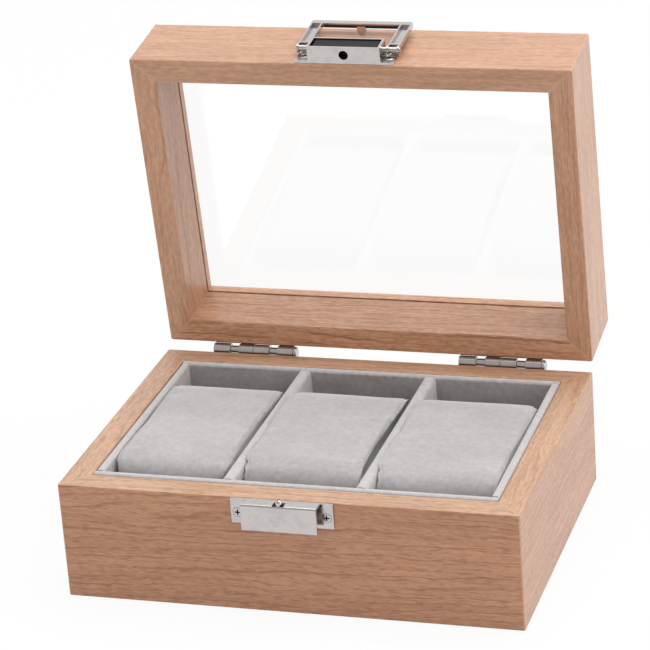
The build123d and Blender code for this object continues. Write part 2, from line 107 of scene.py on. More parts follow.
# ---------------------------------------------------------------- shader graphs
@dataclass
class Graph:
    """A node tree with short calls for the nodes that this file uses."""

    tree: Tree

    def fill(self, sockets: Any, values: dict[Any, Any]) -> None:
        """Link or set sockets.

        Args:
            sockets: The input sockets of a node.
            values: Plain values or output sockets, by the inputs' names or numbers.
        """
        for key, value in values.items():
            if isinstance(value, bpy.types.NodeSocket):
                self.tree.links.new(value, sockets[key])
            else:
                sockets[key].default_value = value

    def add(self, kind: str, inputs: dict[Any, Any] | None = None, **settings: Any) -> bpy.types.Node:
        """Add a node, set its properties, and fill its inputs.

        Args:
            kind: The node's Blender type, without its first word ShaderNode.
            inputs: Values or output sockets, by input name or number.
            **settings: Properties of the node itself.

        Returns:
            The new node.
        """
        node = self.tree.nodes.new("ShaderNode" + kind)
        for key, value in settings.items():
            setattr(node, key, value)
        self.fill(node.inputs, inputs or {})
        return node

    def noise(self, vector: Any, cells: Point, detail: float = 2.0, rough: float = 0.5) -> Any:
        """Sample smooth noise.

        Args:
            vector: The socket that gives the place.
            cells: The noise's cells a metre along each axis.
            detail: How many octaves the noise has.
            rough: How strong the finer octaves are.

        Returns:
            The noise's factor socket.
        """
        scaled = self.add("VectorMath", {0: vector, 1: cells}, operation="MULTIPLY")
        settings = {"Vector": scaled.outputs[0], "Scale": 1.0, "Detail": detail, "Roughness": rough}
        return self.add("TexNoise", settings).outputs[0]

    def math(self, operation: str, first: Any, second: Any = 0.0) -> Any:
        """Combine two values with a math node and return its output."""
        return self.add("Math", {0: first, 1: second}, operation=operation).outputs[0]

    def plus(self, first: Any, second: Any) -> Any:
        """Add two values."""
        return self.math("ADD", first, second)

    def minus(self, first: Any, second: Any) -> Any:
        """Take the second value from the first."""
        return self.math("SUBTRACT", first, second)

    def times(self, first: Any, second: Any) -> Any:
        """Multiply two values."""
        return self.math("MULTIPLY", first, second)

    def larger(self, first: Any, second: Any) -> Any:
        """Pick the larger of two values."""
        return self.math("MAXIMUM", first, second)

    def size(self, value: Any) -> Any:
        """Drop a value's sign."""
        return self.math("ABSOLUTE", value)

    def axes(self, vector: Any) -> Any:
        """Split a vector into its x, y and z."""
        return self.add("SeparateXYZ", {0: vector}).outputs

    def remap(self, value: Any, low: float, high: float, to: Span = (0.0, 1.0)) -> Any:
        """Map a value from one range to another, smoothly and clamped.

        Args:
            value: The socket to map.
            low: The value that becomes the first end of the new range.
            high: The value that becomes the second end.
            to: The two ends of the new range.

        Returns:
            The mapped value's socket.
        """
        ends = {"Value": value, 1: low, 2: high, 3: to[0], 4: to[1]}
        return self.add("MapRange", ends, interpolation_type="SMOOTHSTEP").outputs[0]

    def blend(self, factor: Any, first: Any, second: Any, mode: str = "MIX") -> Any:
        """Blend two colours by a factor and return the blended colour's socket."""
        sockets = {0: factor, 6: first, 7: second}
        return self.add("Mix", sockets, data_type="RGBA", blend_type=mode).outputs[2]

    def group(self, effect: Tree, inputs: dict[str, Any]) -> Any:
        """Place a shared effect and return its outputs."""
        return self.add("Group", inputs, node_tree=effect).outputs


@dataclass(frozen=True)
class LidSwing:
    """How far the lid is swung open about its hinge line at rest."""

    hinge: Point = (0.0, 67.15 * MM, 47.2 * MM)
    angle: float = math.radians(82.5)

    def shut(self, graph: Graph, place: Any) -> Any:
        """Find where a place on the open lid lies with the lid shut.

        Args:
            graph: The material's graph.
            place: Its object coordinates.

        Returns:
            The socket that gives the place on the shut lid.
        """
        hinge = Vector(self.hinge)
        location = tuple(hinge - Matrix.Rotation(self.angle, 3, "X") @ hinge)
        turn = {"Vector": place, "Location": location, "Rotation": (self.angle, 0.0, 0.0)}
        return graph.add("Mapping", turn).outputs[0]

    def opened(self, direction: Point) -> Point:
        """Turn a direction on the shut lid to where it points with the lid open."""
        return tuple(Matrix.Rotation(-self.angle, 3, "X") @ Vector(direction))


@dataclass
class FinishGraph(Graph):
    """The node tree of one material, around its Principled shader."""

    material: Material
    shader: bpy.types.Node
    output: bpy.types.Node
    place: Any

    @classmethod
    def start(cls, name: str) -> "FinishGraph":
        """Start a material on object coordinates.

        Args:
            name: The material's name.

        Returns:
            The material's graph.
        """
        material = bpy.data.materials.new(name)
        material.use_nodes = True
        tree = material.node_tree
        tree.nodes.clear()
        shader = tree.nodes.new("ShaderNodeBsdfPrincipled")
        output = tree.nodes.new("ShaderNodeOutputMaterial")
        tree.links.new(shader.outputs[0], output.inputs["Surface"])
        return cls(tree, material, shader, output, tree.nodes.new("ShaderNodeTexCoord").outputs["Object"])

    def surface(self, values: dict[str, Any]) -> None:
        """Link or set the shader's sockets by name."""
        self.fill(self.shader.inputs, values)

    def relief(self, strength: float, distance: float, height: Any) -> None:
        """Raise the surface's fine relief.

        Args:
            strength: How much of the relief shows.
            distance: How far a height of one stands out.
            height: The height's socket.
        """
        bump = self.add("Bump", {"Strength": strength, "Distance": distance, "Height": height})
        self.surface({"Normal": bump.outputs[0]})


def new_group(name: str, numbers: tuple[str, ...], results: tuple[str, ...]) -> tuple[Graph, Any, Any]:
    """Start a shader node group that works numbers out from a place.

    Args:
        name: The group's name.
        numbers: What it takes besides the place.
        results: What it gives out.

    Returns:
        The group's graph, the outputs of its input node, and the inputs of its output node.
    """
    tree = bpy.data.node_groups.new(name, "ShaderNodeTree")
    tree.interface.new_socket("Vector", in_out="INPUT", socket_type="NodeSocketVector")
    for label in numbers:
        tree.interface.new_socket(label, in_out="INPUT", socket_type="NodeSocketFloat")
    for label in results:
        tree.interface.new_socket(label, in_out="OUTPUT", socket_type="NodeSocketFloat")
    return Graph(tree), tree.nodes.new("NodeGroupInput").outputs, tree.nodes.new("NodeGroupOutput").inputs


@dataclass(frozen=True)
class OakGrain:
    """Straight oak grain along X: growth lines, long thin streaks and short dark pores."""

    sweep_cells: Point = (14.0, 26.0, 26.0)
    ripple_cells: Point = (75.0, 110.0, 110.0)
    ripple_reach: float = 1.4 * MM
    growth_lean: Point = (-0.03, 0.8, 1.0)
    uneven_cells: Point = (5.0, 60.0, 60.0)
    unevenness: float = 4.0
    line_edge: Span = (0.76, 0.94)
    fade_cells: Point = (20.0, 300.0, 300.0)
    fade_edge: Span = (0.38, 0.58)
    mottle_cells: Point = (22.0, 90.0, 90.0)
    streak_cells: Point = (26.0, 1000.0, 1000.0)
    fleck_cells: Point = (330.0, 1050.0, 1050.0)
    pore_cells: Point = (210.0, 1500.0, 1500.0)
    pore_edge: Span = (0.56, 0.70)
    late_wood: Span = (0.45, 0.95)
    late_pores: float = 0.10
    fineness: float = 0.4

    @cache
    def build(self) -> Tree:
        """Make the effect's group, once for all its finishes.

        Returns:
            The group.
        """
        graph, given, result = new_group(
            "oak_grain", ("Waviness", "Lines per Metre"), ("Mottle", "Streaks", "Pores", "Lines", "Height")
        )
        place = given["Vector"]
        sweep = graph.minus(graph.noise(place, self.sweep_cells), 0.5)
        ripple = graph.minus(graph.noise(place, self.ripple_cells, 2.0, 0.6), 0.5)
        offset = graph.times(sweep, given["Waviness"])
        offset = graph.plus(offset, graph.times(ripple, self.ripple_reach))
        shift = graph.add("CombineXYZ", {"Y": offset, "Z": offset}).outputs[0]
        moved = graph.add("VectorMath", {0: place, 1: shift}).outputs[0]
        lean = {0: moved, 1: self.growth_lean}
        across = graph.add("VectorMath", lean, operation="DOT_PRODUCT").outputs["Value"]
        growth = graph.times(across, given["Lines per Metre"])
        uneven = graph.times(graph.noise(moved, self.uneven_cells, 1.0), self.unevenness)
        ring = graph.math("FRACT", graph.plus(growth, uneven))
        fade = graph.remap(graph.noise(moved, self.fade_cells, 1.0), *self.fade_edge)
        long_streaks = graph.noise(moved, self.streak_cells, 1.0, self.fineness)
        flecks = graph.noise(moved, self.fleck_cells, 1.0, self.fineness)
        streaks = graph.times(graph.plus(long_streaks, flecks), 0.5)
        late = graph.times(graph.remap(ring, *self.late_wood), self.late_pores)
        pore_noise = graph.noise(moved, self.pore_cells, 1.0, self.fineness)
        pores = graph.remap(graph.plus(pore_noise, late), *self.pore_edge)
        figure = {
            "Mottle": graph.noise(moved, self.mottle_cells),
            "Streaks": streaks,
            "Pores": pores,
            "Lines": graph.times(graph.remap(ring, *self.line_edge), fade),
            "Height": graph.minus(graph.times(streaks, 0.5), pores),
        }
        graph.fill(result, figure)
        return graph.tree


@dataclass(frozen=True)
class MitreLine:
    """The distances from the corner mitres and from the base's lining, in the shut box's frame."""

    lined_side: float = 78.6 * MM
    lined_depth: float = 53.45 * MM

    @cache
    def build(self) -> Tree:
        """Make the effect's group, once for all its finishes.

        Returns:
            The group.
        """
        graph, given, result = new_group("mitre_line", ("Corner Offset",), ("Distance", "From Lining"))
        x, y, _ = graph.axes(given["Vector"])
        side, depth = graph.size(x), graph.size(y)
        offset = graph.minus(graph.minus(side, depth), given["Corner Offset"])
        sideways = graph.minus(side, self.lined_side)
        inward = graph.minus(depth, self.lined_depth)
        distances = {
            "Distance": graph.times(graph.size(offset), math.sqrt(0.5)),
            "From Lining": graph.larger(sideways, inward),
        }
        graph.fill(result, distances)
        return graph.tree


@dataclass(frozen=True)
class VelvetPile:
    """Short pile: brushed patches, mottling and the tufts' fine relief."""

    brushed_cells: Point = (26.0, 48.0, 60.0)
    mottle_cells: Point = (420.0, 420.0, 420.0)
    tuft_cells: Point = (2600.0, 2600.0, 2600.0)
    mottle_relief: float = 0.8

    @cache
    def build(self) -> Tree:
        """Make the effect's group, once for all its finishes.

        Returns:
            The group.
        """
        graph, given, result = new_group("velvet_pile", (), ("Brushed", "Mottle", "Height"))
        place = given["Vector"]
        mottle = graph.noise(place, self.mottle_cells, 3.0, 0.65)
        tufts = graph.noise(place, self.tuft_cells, 2.0, 0.6)
        pile = {
            "Brushed": graph.remap(graph.noise(place, self.brushed_cells, 3.0, 0.55), 0.35, 0.65),
            "Mottle": mottle,
            "Height": graph.plus(tufts, graph.times(mottle, self.mottle_relief)),
        }
        graph.fill(result, pile)
        return graph.tree


@dataclass(frozen=True)
class Handling:
    """The marks on handled metal and glass: smears, fine rub marks and a pressed surface's waves."""

    smear_cells: Point = (180.0, 180.0, 180.0)
    rub_cells: Point = (240.0, 5200.0, 5200.0)
    wave_cells: Point = (150.0, 190.0, 190.0)

    @cache
    def build(self) -> Tree:
        """Make the effect's group, once for all its finishes.

        Returns:
            The group.
        """
        graph, given, result = new_group("handling", (), ("Smears", "Rubs", "Waves"))
        place = given["Vector"]
        marks = {
            "Smears": graph.remap(graph.noise(place, self.smear_cells, 3.0, 0.6), 0.38, 0.68),
            "Rubs": graph.remap(graph.noise(place, self.rub_cells, 2.0, 0.6), 0.58, 0.70),
            "Waves": graph.noise(place, self.wave_cells, 1.0),
        }
        graph.fill(result, marks)
        return graph.tree


# ---------------------------------------------------------------- finishes
@dataclass(frozen=True)
class BoardGrain:
    """How one board's grain runs, and how strongly its figure shows."""

    run: BoardRun
    seed: float
    lines_per_metre: float = 290.0
    lines: float = 0.55
    pores: float = 0.46
    streaks: float = 0.115
    waviness: float = 3.0 * MM
    tone: float = 1.0


@dataclass(frozen=True)
class OakFinish:
    """Satin oak: straight grain with short pores, with a painted highlight on the top rim and along the
    mitres' eased edges, and a painted shadow line beside the lining.
    """

    light: Colour = (0.492, 0.234, 0.122)
    dark: Colour = (0.449, 0.209, 0.106)
    line: Colour = (0.275, 0.100, 0.038)
    pore: Colour = (0.255, 0.092, 0.036)
    streak_shares: Colour = (0.85, 1.10, 1.40)
    contrast: Span = (0.36, 0.64)
    # painted highlight: lightens and pales the top face of the base's rim, where the light from above falls
    rim_highlight_gain: Colour = (1.13, 1.39, 1.61)
    rim_height: float = 46.8 * MM
    rim_fade: float = 0.2 * MM
    corner_offset: float = 25.15 * MM
    # the colour of the painted highlight along the mitres' eased edges
    pale: Colour = (0.640, 0.400, 0.270)
    mitre_highlight_reach: Span = (0.42 * MM, 0.16 * MM)
    mitre_highlight_strength: float = 0.70
    # the painted shadow line on the wood beside the lining
    lining_shadow: Colour = (0.120, 0.055, 0.030)
    lining_shadow_reach: Span = (0.65 * MM, 0.35 * MM)
    lining_shadow_strength: float = 0.6
    roughness: Span = (0.51, 0.39)
    lacquer: float = 0.5
    lacquer_roughness: float = 0.28

    def figured(self, graph: Graph, grain: BoardGrain, figure: Any) -> Any:
        """Colour the wood by its grain.

        Args:
            graph: The material's graph.
            grain: The board's own grain.
            figure: The outputs of the grain's group.

        Returns:
            The colour's socket.
        """
        light = opaque(tuple(level * grain.tone for level in self.light))
        dark = opaque(tuple(level * grain.tone for level in self.dark))
        colour = graph.blend(graph.remap(figure["Mottle"], *self.contrast), light, dark)
        reaches = [grain.streaks * share for share in self.streak_shares]
        spans = [(1.0 - reach, 1.0 + reach) for reach in reaches]
        tints = [graph.remap(figure["Streaks"], *self.contrast, span) for span in spans]
        streaks = graph.add("CombineColor", dict(enumerate(tints))).outputs[0]
        colour = graph.blend(1.0, colour, streaks, "MULTIPLY")
        colour = graph.blend(graph.times(figure["Lines"], grain.lines), colour, opaque(self.line))
        return graph.blend(graph.times(figure["Pores"], grain.pores), colour, opaque(self.pore))

    def edged(self, graph: Graph, place: Any, colour: Any) -> Any:
        """Paint a highlight on the top rim and along the mitres' eased edges, and a shadow line on the wood
        beside the lining.

        Args:
            graph: The material's graph.
            place: The socket that gives the place in the shut box.
            colour: The wood's colour.

        Returns:
            The colour's socket.
        """
        _, _, height = graph.axes(place)
        # Painted highlight on the top face of the rim.
        rim_highlight = graph.remap(height, self.rim_height, self.rim_height + self.rim_fade)
        colour = graph.blend(rim_highlight, colour, opaque(self.rim_highlight_gain), "MULTIPLY")
        seams = graph.group(MitreLine().build(), {"Vector": place, "Corner Offset": self.corner_offset})
        # Painted highlight along the mitres' eased edges.
        pale = graph.times(graph.remap(seams["Distance"], *self.mitre_highlight_reach), self.mitre_highlight_strength)
        colour = graph.blend(pale, colour, opaque(self.pale))
        # Painted shadow line on the wood beside the lining.
        lining_shadow = graph.times(graph.remap(seams["From Lining"], *self.lining_shadow_reach), self.lining_shadow_strength)
        return graph.blend(lining_shadow, colour, opaque(self.lining_shadow))

    def build(self, name: str, grain: BoardGrain, swing: LidSwing | None = None) -> Material:
        """Make the finish for one board.

        Args:
            name: The material's name.
            grain: The board's own grain.
            swing: The lid's swing for a board of the lid, or None for one of the base.

        Returns:
            The material.
        """
        graph = FinishGraph.start(name)
        place = swing.shut(graph, graph.place) if swing else graph.place
        turn = {
            "Vector": place,
            "Location": (grain.seed, 0.37 * grain.seed, 0.61 * grain.seed),
            "Rotation": (0.0, 0.0, math.radians(grain.run.value)),
        }
        along = graph.add("Mapping", turn).outputs[0]
        wave = {"Vector": along, "Waviness": grain.waviness, "Lines per Metre": grain.lines_per_metre}
        figure = graph.group(OakGrain().build(), wave)
        surface = {
            "Base Color": self.edged(graph, place, self.figured(graph, grain, figure)),
            "Roughness": graph.remap(figure["Streaks"], 0.3, 0.7, self.roughness),
            "Coat Weight": self.lacquer,
            "Coat Roughness": self.lacquer_roughness,
        }
        graph.surface(surface)
        graph.relief(0.20, 0.15 * MM, figure["Height"])
        return graph.material


@dataclass(frozen=True)
class VelvetFinish:
    """Short-pile velvet: dark where it is looked at square on, and pale at a low angle."""

    name: str
    base: Colour
    brushed: Colour
    # a painted highlight that pales the velvet along the boards' top edges, where light falls on them
    top_highlight: Colour | None = None
    top_highlight_height: Span = (46.3 * MM, 47.5 * MM)
    top_highlight_unevenness: float = 0.8 * MM
    mottling: Span = (0.90, 1.07)
    roughness: float = 0.92
    specular: float = 0.2
    sheen: float = 1.0
    sheen_roughness: float = 0.45

    def build(self) -> Material:
        """Make the velvet.

        Returns:
            The material.
        """
        graph = FinishGraph.start(self.name)
        pile = graph.group(VelvetPile().build(), {"Vector": graph.place})
        colour = graph.blend(pile["Brushed"], opaque(self.base), opaque(self.brushed))
        # Painted highlight: the top edges paler, a little unevenly.
        if self.top_highlight:
            _, _, height = graph.axes(graph.place)
            wear_and_highlight = graph.plus(height, graph.times(pile["Mottle"], self.top_highlight_unevenness))
            colour = graph.blend(graph.remap(wear_and_highlight, *self.top_highlight_height), colour, opaque(self.top_highlight))
        mottle = graph.remap(pile["Mottle"], 0.3, 0.7, self.mottling)
        mottles = graph.add("CombineColor", {0: mottle, 1: mottle, 2: mottle}).outputs[0]
        surface = {
            "Base Color": graph.blend(1.0, colour, mottles, "MULTIPLY"),
            "Roughness": self.roughness,
            "Specular IOR Level": self.specular,
            "Sheen Weight": self.sheen,
            "Sheen Roughness": self.sheen_roughness,
        }
        graph.surface(surface)
        graph.relief(0.35, 0.25 * MM, pile["Height"])
        return graph.material


@dataclass(frozen=True)
class RecessShade:
    """Painted shade in a fastener's recess, behind a plane: the way the head faces, and how far out it
    stands.
    """

    facing: Point
    level: float
    sunk: Span = (0.12 * MM, 0.35 * MM)

    def mask(self, graph: Graph, place: Any) -> Any:
        """Find where shade is painted, behind the plane.

        Args:
            graph: The material's graph.
            place: Its object coordinates.

        Returns:
            A socket that gives 1 deep in the recess and 0 on the head.
        """
        out = graph.add("VectorMath", {0: place, 1: self.facing}, operation="DOT_PRODUCT")
        start, end = self.sunk
        return graph.remap(out.outputs["Value"], self.level - start, self.level - end)


@dataclass(frozen=True)
class BarShade:
    """Painted shade on the lower part of the wall of the bail's bar that faces the window, in the shut lid's
    frame.
    """

    swing: LidSwing
    wall: float = 74.7 * MM
    wall_edge: Span = (0.15 * MM, 0.05 * MM)
    centre: float = -0.6 * MM
    half_width: float = 15.6 * MM
    side_fade: float = 0.1 * MM
    # where along y the painted shade comes in
    shaded_from: Span = (-68.3 * MM, -67.9 * MM)

    def mask(self, graph: Graph, place: Any) -> Any:
        """Find where shade is painted on the wall.

        Args:
            graph: The material's graph.
            place: Its object coordinates.

        Returns:
            A socket that gives 1 low on the wall and 0 elsewhere.
        """
        x, y, z = graph.axes(self.swing.shut(graph, place))
        across = graph.size(graph.minus(x, self.centre))
        within = graph.remap(across, self.half_width, self.half_width - self.side_fade)
        off_wall = graph.size(graph.minus(z, self.wall))
        on_wall = graph.times(within, graph.remap(off_wall, *self.wall_edge))
        return graph.times(on_wall, graph.remap(y, *self.shaded_from))


@dataclass(frozen=True)
class MetalFinish:
    """Plated or blackened sheet metal with the marks of pressing and handling, and painted shade where a
    mask is given.
    """

    name: str
    bright: Colour
    dull: Colour
    metallic: float = 1.0
    roughness: Span = (0.16, 0.30)
    wave_strength: float = 0.12
    specular: float = 0.5
    rub_dulling: float = 0.5
    rub_relief: float = 0.02
    # the near-black colour of painted shade, rough and not metallic
    shade_colour: Colour = (0.020, 0.018, 0.017)
    shaded_roughness: float = 0.8

    def build(self, painted_shade: RecessShade | BarShade | None = None, suffix: str = "") -> Material:
        """Make the metal.

        Args:
            painted_shade: Where shade is painted on the metal, or None where none is.
            suffix: What is added to the finish's name.

        Returns:
            The material.
        """
        graph = FinishGraph.start(self.name + suffix)
        marks = graph.group(Handling().build(), {"Vector": graph.place})
        colour = graph.blend(marks["Smears"], opaque(self.bright), opaque(self.dull))
        wear_and_highlight = graph.plus(marks["Smears"], graph.times(marks["Rubs"], self.rub_dulling))
        roughness = graph.remap(wear_and_highlight, 0.0, 1.0 + self.rub_dulling, self.roughness)
        metallic = self.metallic
        # Painted shade: the metal goes near-black, rough and not metallic under the mask.
        if painted_shade:
            sunk = painted_shade.mask(graph, graph.place)
            colour = graph.blend(sunk, colour, opaque(self.shade_colour))
            roughness = graph.larger(roughness, graph.times(sunk, self.shaded_roughness))
            metallic = graph.remap(sunk, 0.0, 1.0, (self.metallic, 0.0))
        surface = {
            "Base Color": colour,
            "Metallic": metallic,
            "Roughness": roughness,
            "Specular IOR Level": self.specular,
        }
        graph.surface(surface)
        height = graph.plus(marks["Waves"], graph.times(marks["Rubs"], self.rub_relief))
        graph.relief(self.wave_strength, 0.2 * MM, height)
        return graph.material


@dataclass(frozen=True)
class GlassFinish:
    """Clear float glass that lets most light through to what lies behind it."""

    name: str = "float_glass"
    ior: float = 1.45
    specular: float = 0.12
    smear_roughness: float = 0.012
    shadow: float = 0.20

    def build(self) -> Material:
        """Make the glass.

        Returns:
            The material.
        """
        graph = FinishGraph.start(self.name)
        marks = graph.group(Handling().build(), {"Vector": graph.place})
        shadow_ray = graph.add("LightPath").outputs["Is Shadow Ray"]
        surface = {
            "Base Color": opaque((1.0, 1.0, 1.0)),
            "Transmission Weight": 1.0,
            "IOR": self.ior,
            "Specular IOR Level": self.specular,
            "Roughness": graph.remap(marks["Smears"], 0.0, 1.0, (0.0, self.smear_roughness)),
            "Alpha": graph.minus(1.0, graph.times(shadow_ray, 1.0 - self.shadow)),
        }
        graph.surface(surface)
        return graph.material


@dataclass(frozen=True)
class BackingFinish:
    """The plain pressed board of the bottom."""

    name: str = "pressed_board"
    pale: Colour = (0.36, 0.25, 0.16)
    deep: Colour = (0.24, 0.16, 0.10)
    flake_cells: Point = (700.0, 700.0, 700.0)
    patch_cells: Point = (60.0, 60.0, 60.0)
    roughness: float = 0.85

    def build(self) -> Material:
        """Make the pressed board.

        Returns:
            The material.
        """
        graph = FinishGraph.start(self.name)
        flakes = graph.noise(graph.place, self.flake_cells, 4.0, 0.7)
        patches = graph.noise(graph.place, self.patch_cells)
        tone = graph.times(graph.plus(flakes, patches), 0.5)
        colour = graph.blend(graph.remap(tone, 0.38, 0.62), opaque(self.pale), opaque(self.deep))
        graph.surface({"Base Color": colour, "Roughness": self.roughness})
        graph.relief(0.3, 0.2 * MM, flakes)
        return graph.material


def dress(frame: Frame, node: str, material: Material) -> None:
    """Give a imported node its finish.

    Args:
        frame: The loaded frame.
        node: The node's name.
        material: The finish.
    """
    piece = frame["nodes"][node]
    if not piece.material_slots:
        piece.data.materials.append(material)
    for slot in piece.material_slots:
        slot.material = material
    LOG.info("dressed %s in %s", node, material.name)


# ---------------------------------------------------------------- sub-assemblies
@dataclass(frozen=True)
class WoodenBase:
    """The mitred base with its bottom panel."""

    finish: OakFinish = OakFinish()
    backing: BackingFinish = BackingFinish()

    def grains(self) -> dict[str, BoardGrain]:
        """List each board's own grain.

        Returns:
            The grain by node.
        """
        return {
            "front_panel": BoardGrain(BoardRun.ACROSS, 0.31),
            "back_panel": BoardGrain(BoardRun.ACROSS, 0.48),
            "left_panel": BoardGrain(BoardRun.DEEP, 0.65, lines=0.30),
            "right_panel": BoardGrain(BoardRun.DEEP, 0.82, lines=0.30, pores=0.30),
        }

    def dress(self, frame: Frame) -> None:
        """Finish each board with its own piece of grain.

        Args:
            frame: The loaded frame.
        """
        for node, grain in self.grains().items():
            dress(frame, node, self.finish.build("oak_" + node, grain))
        dress(frame, "bottom_panel", self.backing.build())


@dataclass(frozen=True)
class GlazedLid:
    """The mitred lid and its pane, open about the hinge line."""

    swing: LidSwing = LidSwing()
    finish: OakFinish = OakFinish(
        light=(0.525, 0.278, 0.162),
        dark=(0.480, 0.248, 0.141),
        rim_highlight_gain=(1.0, 1.0, 1.0),
        corner_offset=24.65 * MM,
        lining_shadow_strength=0.0,
    )
    glass: GlassFinish = GlassFinish()

    def grains(self) -> dict[str, BoardGrain]:
        """List each rail's own grain.

        Returns:
            The grain by node.
        """
        sweeping = {"lines_per_metre": 170.0, "lines": 0.30, "pores": 0.16, "waviness": 9.0 * MM}
        fine = {"lines_per_metre": 430.0, "lines": 0.42, "pores": 0.20}
        return {
            "lid_front_rail": BoardGrain(BoardRun.ACROSS, 1.13, **sweeping),
            "lid_back_rail": BoardGrain(
                BoardRun.ACROSS, 1.32, lines_per_metre=300.0, lines=0.70, pores=0.32, streaks=0.16, tone=1.15
            ),
            "lid_left_rail": BoardGrain(BoardRun.DEEP, 1.51, tone=1.04, **sweeping),
            "lid_right_rail": BoardGrain(BoardRun.DEEP, 1.70, **fine),
        }

    def dress(self, frame: Frame) -> None:
        """Finish the rails, whose grain keeps to the lid, and the pane.

        Args:
            frame: The loaded frame.
        """
        for node, grain in self.grains().items():
            dress(frame, node, self.finish.build("oak_" + node, grain, self.swing))
        dress(frame, "glass_pane", self.glass.build())


@dataclass(frozen=True)
class VelvetLining:
    """The velvet-covered boards that line the base and part its places, in a painted shaded copy and a lit
    copy of one velvet.
    """

    # the colour of the painted highlight on the lining boards' top edges
    top_highlight: Colour = (0.50, 0.475, 0.47)
    # the painted shaded copy, for the floor, front and back boards
    dark: Colour = (0.345, 0.312, 0.304)
    shaded_brushed: Colour = (0.440, 0.402, 0.394)
    # the lit copy, for the side boards and the dividers
    pale: Colour = (0.36, 0.333, 0.333)
    lit_brushed: Colour = (0.44, 0.412, 0.412)
    shaded_boards: tuple[str, ...] = ("floor_lining", "front_lining", "back_lining")
    lit_boards: tuple[str, ...] = ("left_lining", "right_lining", "left_divider", "right_divider")

    def dress(self, frame: Frame) -> None:
        """Finish each lined board in velvet.

        Args:
            frame: The loaded frame.
        """
        # A painted shaded copy and a lit copy of one velvet.
        dark = VelvetFinish("lining_velvet_dark", self.dark, self.shaded_brushed, self.top_highlight).build()
        pale = VelvetFinish("lining_velvet_pale", self.pale, self.lit_brushed, self.top_highlight).build()
        for node in self.shaded_boards:
            dress(frame, node, dark)
        for node in self.lit_boards:
            dress(frame, node, pale)


@dataclass(frozen=True)
class Hardware:
    """The hinges and the bail latch."""

    swing: LidSwing = LidSwing()
    chrome: MetalFinish = MetalFinish("chrome_plate", (0.575, 0.540, 0.530), (0.525, 0.492, 0.483))
    blackened: MetalFinish = MetalFinish(
        "blackened_spring", (0.012, 0.012, 0.013), (0.022, 0.021, 0.022), 0.0, (0.45, 0.60), 0.2, 0.15
    )

    def painted_shade(self, piece: Piece) -> RecessShade | BarShade | None:
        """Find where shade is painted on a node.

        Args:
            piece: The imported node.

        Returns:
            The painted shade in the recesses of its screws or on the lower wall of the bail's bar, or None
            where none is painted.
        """
        if piece.name == "latch_bail":
            return BarShade(self.swing)
        if not piece.name.endswith("screws"):
            return None
        outward = (0.0, 1.0, 0.0) if "hinge" in piece.name else (0.0, -1.0, 0.0)
        if "lid" in piece.name or "latch" in piece.name:
            outward = self.swing.opened(outward)
        return RecessShade(outward, max(vertex.co.dot(Vector(outward)) for vertex in piece.data.vertices))

    def dress(self, frame: Frame) -> None:
        """Finish the metal nodes.

        Args:
            frame: The loaded frame.
        """
        chrome = self.chrome.build()
        blackened = self.blackened.build()
        for node in sorted(frame["nodes"]):
            if node == "latch_spring":
                dress(frame, node, blackened)
            elif any(word in node for word in ("hinge", "latch", "catch")):
                painted_shade = self.painted_shade(frame["nodes"][node])
                dress(frame, node, self.chrome.build(painted_shade, "_" + node) if painted_shade else chrome)


@dataclass(frozen=True)
class Shoulder:
    """An elliptical shoulder: how far in from an edge it starts, and how far down it comes there."""

    reach: float
    drop: float

    def fallen(self, beyond: float) -> float:
        """Find how far down the shoulder has come, a given way beyond its start."""
        share = min(max(beyond / self.reach, 0.0), 1.0)
        return self.drop * (1.0 - math.sqrt(1.0 - share * share))


def cut(shape: Shape, point: Point, facing: Point, near: float = 0.02 * MM) -> None:
    """Cut a shape's faces along a plane.

    Args:
        shape: The shape.
        point: A point of the plane.
        facing: The plane's normal.
        near: How near the plane a vertex counts as on it.
    """
    geometry = [*shape.verts, *shape.edges, *shape.faces]
    bmesh.ops.bisect_plane(shape, geom=geometry, plane_co=point, plane_no=facing, dist=near)


@dataclass(frozen=True)
class Stuffing:
    """The cloth simulation that blows a slack cushion up."""

    frames: int = 20
    quality: int = 6
    mass: float = 0.15
    pressure: float = 4.0
    stiffness: float = 12.0
    bending: float = 0.3

    def swell(self, piece: Piece) -> list[Vector]:
        """Simulate a cushion's cover and leave the piece as it was.

        Args:
            piece: The slack cushion.

        Returns:
            Where each vertex has come to.
        """
        scene = bpy.context.scene
        cloth = piece.modifiers.new("stuffing", "CLOTH")
        settings = cloth.settings
        settings.quality = self.quality
        settings.mass = self.mass
        settings.use_pressure = True
        settings.uniform_pressure_force = self.pressure
        settings.tension_stiffness = self.stiffness
        settings.compression_stiffness = self.stiffness
        settings.bending_stiffness = self.bending
        settings.effector_weights.gravity = 0.0
        cloth.point_cache.frame_start = 1
        cloth.point_cache.frame_end = self.frames
        for number in range(1, self.frames + 1):
            scene.frame_set(number)
        graph = bpy.context.evaluated_depsgraph_get()
        swollen = [vertex.co.copy() for vertex in piece.evaluated_get(graph).data.vertices]
        piece.modifiers.clear()
        scene.frame_set(1)
        return swollen


